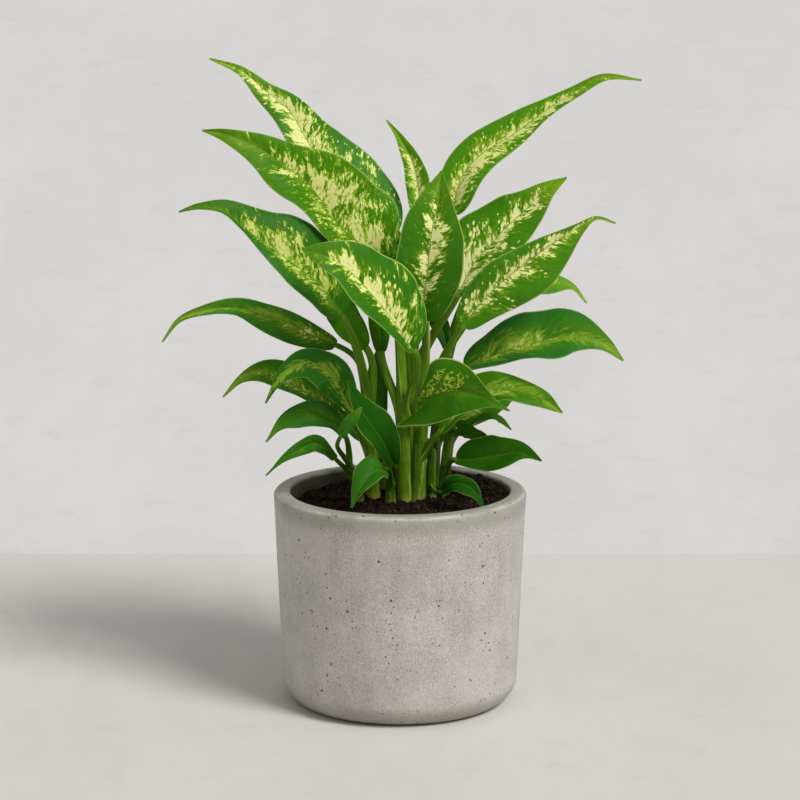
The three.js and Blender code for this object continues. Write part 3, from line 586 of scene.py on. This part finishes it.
def plain(name, colour, mottle):
    """A matt ground with faint clouds that grow with the distance."""
    paint = Paint(name, 0.1, 0.8)
    x, y, z = paint.split(paint.place())
    near = 1 / abs(y + 1.6).most(0.5)
    behind = (y.least(-0.9) + 0.9).most(-1.6) * 6
    cloud = paint.noise_at(x * near * 14, near * 8 + behind, 0.0, 3)
    patch = paint.noise_at(x * near * 90, near * 50 + behind * 6, 4.0, 4, 0.65)
    scuff = paint.noise_at(x * near * 60, near * 90 + behind * 6, 8.0, 3, 0.6).rise(0.58, 0.7)
    shade = (cloud * 0.8 + patch * 0.5 - scuff * 0.2 - 0.1).rise(0.3, 0.7)
    paint.feed("Base Color", paint.mix(shade, tuple(c * (1 - mottle) for c in colour), colour))
    return paint.material


# Meshes


def build(name, points, faces, material, slot=None, nodes=(), layers=None):
    """A smooth piece in place of the solid nodes. A layer's values repeat until every point has them."""
    mesh = bpy.data.meshes.new(name)
    mesh.from_pydata((np.array(points) * MM).tolist(), [], faces)
    mesh.update()
    mesh.shade_smooth()
    for layer, values in (layers or {}).items():
        values = np.array(values, float)
        kind, key = ("FLOAT", "value") if values.ndim == 1 else ("FLOAT_VECTOR", "vector")
        values = np.resize(values, (len(points), *values.shape[1:]))
        mesh.attributes.new(layer, kind, "POINT").data.foreach_set(key, values.ravel())
    mesh.materials.append(material)
    piece = bpy.data.objects.new(name, mesh)
    bpy.context.scene.collection.objects.link(piece)
    if slot:
        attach(piece, "root")
        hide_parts(*nodes)
    return piece


def lattice(rows, columns, closed, start=0, flip=False):
    """Faces between the rows of points, each row a ring if closed."""
    faces = []
    for i in range(start, start + (rows - 1) * columns, columns):
        for k in range(columns if closed else columns - 1):
            n = (k + 1) % columns
            quad = [i + k, i + n, i + columns + n, i + columns + k]
            faces.append(quad[::-1] if flip else quad)
    return faces


def half_width(u, sizes):
    return smooth_through(np.sqrt([0, *PLACES, 1]), [BASE_HALF, *sizes, TIP_HALF], np.sqrt(u))


def blade_frame(path, u, leaf):
    """A blade's place at u, and the ways along it, up from it and to its right."""
    tangent = path.along(u)
    normal = unit(FRONT - FRONT.dot(tangent) * tangent)
    base, middle, tip = leaf.turn
    turn = math.radians(base * (1 - u) * (1 - 2 * u) + middle * 4 * u * (1 - u) + tip * u * (2 * u - 1))
    normal = normal * math.cos(turn) + np.cross(tangent, normal) * math.sin(turn)
    return path.at(u), tangent, normal, np.cross(tangent, normal)


def blade(leaf, settings, seed):
    """Points, faces and values of one blade: an upper sheet, and a lower one that thickens to the midrib."""
    path = through(leaf.rib)
    rows, columns = settings.steps + 1, settings.lanes + 1
    lane = np.linspace(-1, 1, columns)
    vs = np.sign(lane) * (0.35 * abs(lane) + 0.65 * (1 - (1 - abs(lane)) ** 1.6))
    out = abs(vs)
    fold = math.radians(leaf.fold)
    shift = np.random.RandomState(seed).uniform(0, 6.28, 4)
    upper, lower, spread, share = [], [], [], []

    def swing(u, cycles, start, lag):
        """A wave along the blade, which starts elsewhere on its left side."""
        return np.sin(TURN * cycles * u + start + np.where(vs < 0, lag, 0))

    for u in 0.5 - 0.5 * np.cos(np.pi * np.linspace(0, 1, rows)):
        point, tangent, normal, side = blade_frame(path, u, leaf)
        swell = math.sin(math.pi * u)
        half = np.where(vs > 0, half_width(u, leaf.right), half_width(u, leaf.left))
        half = half * (1 + settings.wobble * swing(u, 3.1, shift[1], shift[0]) * swell)
        lift = half * math.sin(fold) * out * (1.4 - 0.7 * out)
        lift = lift + leaf.wave * swing(u, CYCLES, leaf.phase, LAG) * out**2 * swell
        ripple = swing(u, 5.3, shift[0], shift[1]) + 0.5 * swing(u, 9.1, shift[2], shift[3])
        lift = lift + settings.ripple / MM * half / 25 * ripple * out**4 * swell
        sag = settings.channel / MM * bell(out * half, 1.5) * (1 - u) * min(1, u / 0.03)
        near = u / LOBE_AT
        swept = np.where(vs > 0, *leaf.lobe) * out**3 * (near * math.exp(1 - near)) ** 2
        body = (SHEET + INNER * (1 - u) * (1 - out**2)) * (1 - 0.45 * out**6)
        rib = (MIDRIB * (1 - u) ** 1.3 + 0.1) * bell(out * half, MIDRIB_HALF)
        base = point + np.outer(half * vs * math.cos(fold), side) - np.outer(swept, tangent)
        upper.append(base + np.outer(lift - sag, normal))
        lower.append(base + np.outer(lift - sag * 0.5 - body - rib, normal))
        spread.append(abreast(u * path.length / 10, vs * half / 10, 0))
        share.append(abreast(u, out, leaf.line))
    count = rows * columns
    faces = lattice(rows, columns, False) + lattice(rows, columns, False, count, True)
    grid = np.arange(count).reshape(rows, columns)
    rim = np.concatenate([grid[0], grid[1:, -1], grid[-1, -2::-1], grid[-2:0:-1, 0]]).tolist()
    for a, b in zip(rim, rim[1:] + rim[:1]):
        faces.append([b, a, a + count, b + count])
    top = np.concatenate(spread)
    cream = leaf.cream + leaf.lean * np.clip(vs * 5, -1, 1)
    layers = {
        "spread": np.concatenate([top, top + [0, 0, 1]]),
        "share": np.concatenate(share),
        "habit": abreast(cream, seed % 97 / 97, leaf.tone),
        "marks": [[leaf.spine, leaf.cool, leaf.specks]],
        "reach": [[leaf.zone, *leaf.span]],
        "manner": [[leaf.brush, leaf.wide, leaf.scrawl]],
        "bleach": [leaf.bleach],
    }
    return np.concatenate(upper + lower), faces, layers


def tube(path, steps, sides, radius, facing, skin):
    """A tube along a path. radius and skin take u and the angles around, which start at the way of facing."""
    points, values = [], []
    angles = TURN * np.arange(sides) / sides
    for i in range(steps + 1):
        u = i / steps
        tangent = path.along(u)
        ahead = unit(facing(u) - facing(u).dot(tangent) * tangent)
        side = np.cross(tangent, ahead)
        ring = np.outer(np.cos(angles), ahead) + np.outer(np.sin(angles), side)
        points.append(path.at(u) + radius(u, angles)[:, None] * ring)
        values.append(abreast(*skin(u, angles)))
    faces = lattice(steps + 1, sides, True)
    last = steps * sides
    faces.append(list(range(sides - 1, -1, -1)))
    faces.append(list(range(last, last + sides)))
    return np.concatenate(points), faces, np.concatenate(values)


def cane_shell(cane, path, sides):
    """A cane with an old leaf's ring, the raised edge of a leaf's sheath, a wider foot and a round top."""
    low, high = cane.radius
    first, last = cane.seam

    def height(u):
        return u * path.length - STEM_DEPTH

    def beyond(u, angles):
        """Angles from the sheath's edge at u, from 0 to a whole turn."""
        return (angles - first - (last - first) * u) % TURN

    def radius(u, angles):
        size = (low + (high - low) * u) * 1.07 + 0.2 * bell(height(u) - cane.ring, 1.0)
        size = size + 0.5 * bell(max(height(u), 0), 7) + 0.4 * np.exp(-beyond(u, angles) / 1.2)
        end = math.sqrt(max(0.0, 1 - max(0.0, (u - 0.94) / 0.06) ** 2))
        return size * max(end, BLUNT) * (1 + 0.03 * np.cos(3 * angles + u * 5))

    def skin(u, angles):
        pale = 0.25 * bell(height(u) - cane.ring, 0.7) + 0.35 * bell(max(height(u), 0), 5)
        pale = np.maximum(pale, 0.55 * bell(beyond(u, angles), 0.3))
        return u * path.length / 10, angles / 6.28, pale, cane.tone

    return tube(path, CANE_STEPS, sides, radius, lambda u: np.array([0.0, -1.0, 0.0]), skin)


def petiole_shell(leaf, cane, path, sides):
    """A petiole that wraps its cane at first, is grooved above, and ends at its blade."""
    # The share of the path where the cane is as high as the petiole's start, by ever smaller steps.
    foot = 0.0
    for step in 0.5 ** np.arange(1, 21):
        if path.point(foot + step)[2] < leaf.start:
            foot += step
    root = path.point(foot)
    rib = through(leaf.rib)
    out = rib.along(0)
    end = rib.at(0) + out * 0.6
    reach = np.linalg.norm(end - out * (0.6 + GAP) - root)
    leaving, arriving = leaf.rise * reach * path.heading(foot), leaf.hold * reach * out
    route = bezier(root, root + leaving, end - arriving, end)
    slim = min(1, leaf.stout * (0.4 + (leaf.right[1] + leaf.left[1]) / 70))
    face = blade_frame(rib, 0, leaf)[2]
    away = unit((end - root) * np.array([1, 1, 0]) + 1e-6)
    low, high = cane.radius
    hug = low + (high - low) * (leaf.start - cane.line[0][2] + STEM_DEPTH) / path.length + 0.25

    def front(angles):
        """The angles as minus to plus half a turn from the groove."""
        return (angles + np.pi) % TURN - np.pi

    def radius(u, angles):
        plain = slim * (4 - 1.7 * math.sqrt(u)) * (1 + 0.2 * bell(u, 0.5))
        wrap = bell(u, 0.16)
        around = (plain + (max(hug, plain) - plain) * wrap) * (1 - 0.3 * bell(u, 0.035))
        groove = 0.34 * bell(u - 0.35, 0.4) * (1 - wrap)
        return around * (1 - groove * bell(front(angles), 0.75))

    def skin(u, angles):
        edges = 0.75 * bell(abs(front(angles)) - 1.18, 0.11) * bell(u - 0.35, 0.35)
        strip = leaf.sheath * bell(u - 0.9, 0.2) * bell(front(angles) - 1.5, 0.8)
        return u * route.length / 10, angles / 6.28 + 3, np.maximum(edges, strip), cane.tone

    def facing(u):
        return unit(face * min(1, u * 2) - away * max(0, 1 - u * 2) + 1e-6)

    return tube(route, PETIOLE_STEPS, sides, radius, facing, skin)


def stem_shells(node, sides):
    """The canes of a stem, each with the petioles that grow from it."""
    shells = []
    for name, cane in CANES.items():
        if cane.node == node:
            x, y, z = cane.line[0]
            path = through([[x, y, z - STEM_DEPTH], *cane.line])
            shells.append(cane_shell(cane, path, sides))
            grown = [leaf for leaf in LEAVES.values() if leaf.cane == name]
            shells += [petiole_shell(leaf, cane, path, sides) for leaf in grown]
    return shells


def merged(shells):
    points, faces, values, start = [], [], [], 0
    for p, f, v in shells:
        points.append(p)
        values.append(v)
        faces += [[k + start for k in face] for face in f]
        start += len(p)
    return np.concatenate(points), faces, np.concatenate(values)


def crumb():
    """The corners and sides of a rough ball with 20 sides, about 1 mm in radius."""
    gold = (1 + 5**0.5) / 2
    knobs = np.array([[a, b * gold, 0] for a in (-1, 1) for b in (-1, 1)])
    knobs = np.concatenate([knobs, knobs[:, [2, 0, 1]], knobs[:, [1, 2, 0]]]) / 1.9
    sides = []
    for i, j, k in combinations(range(12), 3):
        a, b, c = knobs[[i, j, k]]
        if max(math.dist(a, b), math.dist(b, c), math.dist(a, c)) < 1.2:
            sides.append([i, j, k] if np.cross(b - a, c - a).dot(a) > 0 else [i, k, j])
    return knobs, sides


def arc(radius, height, size, first, last, steps):
    turn = np.radians(np.linspace(first, last, steps + 1))
    return [(radius + size * math.cos(a), height + size * math.sin(a)) for a in turn]


def lathe(profile, sides):
    """Points and faces of a profile turned about Z. The profile's first and last points are on the axis."""
    inner = profile[1:-1]
    angles = TURN * np.arange(sides) / sides
    rows = [abreast(r * np.cos(angles), r * np.sin(angles), z) for r, z in inner]
    points = np.concatenate(rows + [np.array([[0, 0, profile[0][1]], [0, 0, profile[-1][1]]])])
    faces = lattice(len(inner), sides, True)
    first, last = len(points) - 2, len(points) - 1
    top = (len(inner) - 1) * sides
    for k in range(sides):
        n = (k + 1) % sides
        faces.append([first, n, k])
        faces.append([last, top + k, top + n])
    return points, faces


# Settings


def setting(kind, **fixed):
    """A short call for one kind of setting."""
    return lambda name, text, default: kind(name=name, description=text, default=default, **fixed)


count = setting(IntProperty)
number = setting(FloatProperty)
length = setting(FloatProperty, unit="LENGTH")
fraction = setting(FloatProperty, subtype="FACTOR")
angle = setting(FloatProperty, subtype="ANGLE", unit="ROTATION")
focal = setting(FloatProperty, unit="CAMERA")
colour = setting(FloatVectorProperty, subtype="COLOR")


class PotSettings(PropertyGroup):
    rim: length("Rim radius", "Outer radius at the rim", 0.075)
    foot: length("Foot radius", "Outer radius at the ground", 0.0694)
    height: length("Height", "Height of the pot", 0.1275)
    wall: length("Wall", "Thickness of the wall", 0.0098)
    floor: length("Floor", "Thickness of the floor", 0.013)
    sides: count("Sides", "Faces around the pot", 160)
    dark: colour("Dark", "Darker concrete", (0.27, 0.255, 0.232))
    light: colour("Light", "Lighter concrete", (0.66, 0.63, 0.59))


class SoilSettings(PropertyGroup):
    level: length("Level", "Height of the soil at the wall", 0.119)
    mound: length("Mound", "Rise towards the stems", 0.0025)
    crumbs: count("Crumbs", "Number of loose crumbs", 4300)
    seed: count("Seed", "Order of the crumbs", 11)


class StemSettings(PropertyGroup):
    sides: count("Sides", "Faces around a stem or petiole", 32)


class LeafSettings(PropertyGroup):
    steps: count("Steps", "Faces along a blade", 56)
    lanes: count("Lanes", "Faces across a blade", 28)
    ripple: length("Ripple", "Height of the small waves of a margin", 0.00035)
    wobble: fraction("Wobble", "Share of its width by which a blade swells and narrows", 0.025)
    channel: length("Channel", "Depth of the midrib's groove", 0.0007)
    # A leaf's tone picks its green between deep and fresh: partly its age, partly painted light and shade.
    deep: colour("Deep green", "Green of an old leaf", (0.008, 0.075, 0.0008))
    fresh: colour("Fresh green", "Green of a young leaf", (0.085, 0.28, 0.002))
    # margin: the bluish green of the painted sheen that cool lays over a blade, strongest towards its edge.
    margin: colour("Margin", "Green of an old leaf towards its edge", (0.014, 0.14, 0.022))
    lime: colour("Lime", "Light green beside the cream", (0.4, 0.57, 0.025))
    cream: colour("Cream", "Darker cream", (0.6, 0.62, 0.17))
    ivory: colour("Ivory", "Lighter cream", (0.96, 0.95, 0.42))


class StageSettings(PropertyGroup):
    wall: colour("Wall", "Colour of the ground far behind", (0.735, 0.72, 0.707))
    floor: colour("Floor", "Colour of the floor", (0.70, 0.675, 0.65))
    key: number("Key light", "Strength of the main light", 2.35)
    sky: number("Sky", "Strength of the light from all around", 0.42)
    distance: length("Distance", "From the plant to the camera", 1.6)
    eye: length("Eye height", "Height of the camera", 0.4898)
    tilt: angle("Tilt", "Downward tilt of the camera", math.radians(10.92))
    lens: focal("Lens", "Focal length in mm", 124.29)


# Operators


class PLANT_OT_pot(Operator):
    """Make the concrete pot"""

    bl_idname = "plant.pot"
    bl_label = "Pot"

    def execute(self, context):
        s = context.scene.plant_pot
        rim, foot, height, wall, floor = (v / MM for v in (s.rim, s.foot, s.height, s.wall, s.floor))
        # How round the rim is outside and inside, the foot, and the corner between wall and floor.
        lip, edge, heel, inside = 3.6, 1.8, 14.0, 8.0

        def outer(z):
            return foot + (rim - foot) * z / height

        crest = height - lip
        inner = outer(height) - wall
        profile = [(0, 0), (outer(0) - heel - 20, 0)]
        profile += arc(outer(heel) - heel, heel, heel, -90, 0, 12)
        profile += [(outer(z), z) for z in np.linspace(heel + 4, crest - 3, 14)]
        profile += arc(rim - lip, crest, lip, 0, 90, 8) + arc(inner + edge, height - edge, edge, 90, 180, 6)
        profile += [(outer(z) - wall, z) for z in np.linspace(crest - 3, floor + inside + 4, 10)]
        profile += arc(outer(floor) - wall - inside, floor + inside, inside, 0, -90, 6) + [(0, floor)]
        points, faces = lathe(profile, s.sides)
        radius = np.hypot(points[:, 0], points[:, 1])
        turn = np.arctan2(points[:, 1], points[:, 0])
        sway = 0.12 * np.sin(3 * turn + 1) + 0.1 * np.sin(5 * turn + points[:, 2] * 0.06)
        points[:, :2] *= (1 + sway / np.maximum(radius, 20))[:, None]
        build("pot_cast", points, faces, concrete(s), "pot", ["pot"])
        return {"FINISHED"}


class PLANT_OT_soil(Operator):
    """Make the soil and its crumbs"""

    bl_idname = "plant.soil"
    bl_label = "Soil"

    def execute(self, context):
        s, pot = context.scene.plant_soil, context.scene.plant_pot
        level, mound = s.level / MM, s.mound / MM
        rng = np.random.RandomState(s.seed)
        reach = (pot.foot + (pot.rim - pot.foot) * s.level / pot.height - pot.wall) / MM - 0.5

        def height(x, y):
            r = np.hypot(x, y)
            rise = mound * np.cos(np.pi / 2 * np.minimum(1, r / reach))
            lumps = np.sin(0.21 * x + 0.4) * np.cos(0.24 * y - 0.7) + 0.6 * np.sin(0.43 * x - 0.31 * y)
            small = 0.5 * np.sin(1.1 * x + 0.7 * y) * np.sin(0.9 * y - 0.8 * x)
            small = small + 0.3 * np.sin(2.3 * x) * np.sin(2.1 * y)
            bank = 4 * (r / reach) ** 4 * np.maximum(0, np.cos(np.arctan2(y, x) - 0.7)) ** 2
            return level + rise + 0.03 * (x + y) + 1.1 * lumps + small + bank

        profile = [(0, 30), (reach - 4, 30), (reach - 0.4, 34)]
        profile += [(r, level) for r in np.linspace(reach, 1.2, 44)] + [(0, level)]
        points, faces = lathe(profile, 120)
        top = points[:, 2] > level - 1
        points[top, 2] = height(points[top, 0], points[top, 1])
        points[top, 2] += rng.uniform(-0.35, 0.35, top.sum())
        shells = [(points, faces, np.full(len(points), 0.35))]
        knobs, sides = crumb()
        for _ in range(s.crumbs):
            r = reach * math.sqrt(rng.uniform(0, 0.98))
            a = rng.uniform(0, 2 * math.pi)
            x, y = r * math.cos(a), r * math.sin(a)
            size = 0.3 + 1.2 * rng.uniform() ** 3
            gaps = [math.dist(cane.line[0][:2], (x, y)) - cane.radius[0] for cane in CANES.values()]
            if r + size > reach or min(gaps) < size * 0.8:
                continue
            shape = knobs * size * (1 + rng.uniform(-0.35, 0.35, (12, 1))) * rng.uniform(0.6, 1.15, (1, 3))
            spin = rng.uniform(0, 2 * math.pi)
            c, n = math.cos(spin), math.sin(spin)
            shape = shape @ np.array([[c, -n, 0], [n, c, 0], [0, 0, 1]])
            place = np.array([x, y, float(height(x, y)) + size * rng.uniform(-0.1, 0.5)])
            tint = 0.5 + 0.5 * rng.uniform(-1, 1) ** 3 + (0.5 if rng.uniform() < 0.03 else 0)
            shells.append((shape + place, sides, np.full(12, tint)))
        points, faces, grain = merged(shells)
        piece = build("soil_crumbly", points, faces, earth(), "soil", ["soil"], {"grain": grain})
        piece.data.shade_flat()
        return {"FINISHED"}


class PLANT_OT_stems(Operator):
    """Make the stems with their petioles"""

    bl_idname = "plant.stems"
    bl_label = "Stems"

    def execute(self, context):
        material = stalk()
        for node in sorted({cane.node for cane in CANES.values()}):
            points, faces, skin = merged(stem_shells(node, context.scene.plant_stem.sides))
            layers = {"skin": skin[:, :3], "tone": skin[:, 3]}
            build("grown_" + node, points, faces, material, "stem", [node], layers)
        return {"FINISHED"}


class PLANT_OT_leaves(Operator):
    """Make the blades"""

    bl_idname = "plant.leaves"
    bl_label = "Leaves"

    def execute(self, context):
        s = context.scene.plant_leaf
        material = blade_skin(s)
        for number, (name, leaf) in enumerate(LEAVES.items()):
            points, faces, layers = blade(leaf, s, 13 + 7 * number)
            build("grown_leaf_" + name, points, faces, material, "leaf", ["leaf_" + name], layers)
        return {"FINISHED"}


class PLANT_OT_stage(Operator):
    """Make the floor, the backdrop, the lights and the camera"""

    bl_idname = "plant.stage"
    bl_label = "Stage"

    def execute(self, context):
        s = context.scene.plant_stage
        floor = self.ground("floor", -FAR, FLOOR_END, plain("floor", s.floor, 0.05))
        sheet = self.ground("backdrop", FLOOR_END, FAR, plain("backdrop", s.wall, 0.06))
        world = bpy.data.worlds.new("studio")
        world.use_nodes = True
        sky = world.node_tree.nodes["Background"].inputs
        sky["Color"].default_value = (1, 0.99, 0.98, 1)
        sky["Strength"].default_value = s.sky
        context.scene.world = world
        light = bpy.data.lights.new("key", "SUN")
        light.angle = 0.4
        light.energy = s.key
        lamp = bpy.data.objects.new("key", light)
        # The way from the plant to the light.
        x, y, z = 0.51, -0.47, 0.72
        lamp.rotation_euler = (math.atan2(math.hypot(x, y), z), 0, math.atan2(y, x) + math.pi / 2)
        eye = bpy.data.cameras.new("camera")
        eye.lens = s.lens
        eye.sensor_width = 36
        # A fifth of a pixel to the right.
        eye.shift_x = 0.2 / 800
        camera = bpy.data.objects.new("camera", eye)
        camera.location = (0, -s.distance, s.eye)
        camera.rotation_euler = (math.pi / 2 - s.tilt, 0, 0)
        for thing in (lamp, camera):
            context.scene.collection.objects.link(thing)
        bpy.context.scene.camera = camera
        context.scene.view_settings.view_transform = "Standard"
        return {"FINISHED"}

    @staticmethod
    def ground(name, near, far, material):
        corners = [[-FAR, near, 0], [FAR, near, 0], [FAR, far, 0], [-FAR, far, 0]]
        return build(name, corners, [[0, 1, 2, 3]], material)


class PLANT_PT_panel(Panel):
    """Lists the steps that make the plant"""

    bl_label = "Potted plant"
    bl_idname = "PLANT_PT_panel"
    bl_space_type = "VIEW_3D"
    bl_region_type = "UI"
    bl_category = "Plant"

    def draw(self, context):
        for step in STEPS:
            self.layout.operator(step.bl_idname)


SETTINGS = {
    "plant_pot": PotSettings,
    "plant_soil": SoilSettings,
    "plant_stem": StemSettings,
    "plant_leaf": LeafSettings,
    "plant_stage": StageSettings,
}
STEPS = (PLANT_OT_pot, PLANT_OT_soil, PLANT_OT_stems, PLANT_OT_leaves, PLANT_OT_stage)
CLASSES = (*SETTINGS.values(), *STEPS, PLANT_PT_panel)


def register():
    for cls in CLASSES:
        bpy.utils.register_class(cls)
    for name, cls in SETTINGS.items():
        setattr(bpy.types.Scene, name, PointerProperty(type=cls))


def unregister():
    for name in SETTINGS:
        delattr(bpy.types.Scene, name)
    for cls in reversed(CLASSES):
        bpy.utils.unregister_class(cls)


def main():
    register()
    bpy.ops.plant.pot()
    bpy.ops.plant.soil()
    bpy.ops.plant.stems()
    bpy.ops.plant.leaves()
    bpy.ops.plant.stage()


if __name__ == "__main__":
    main()
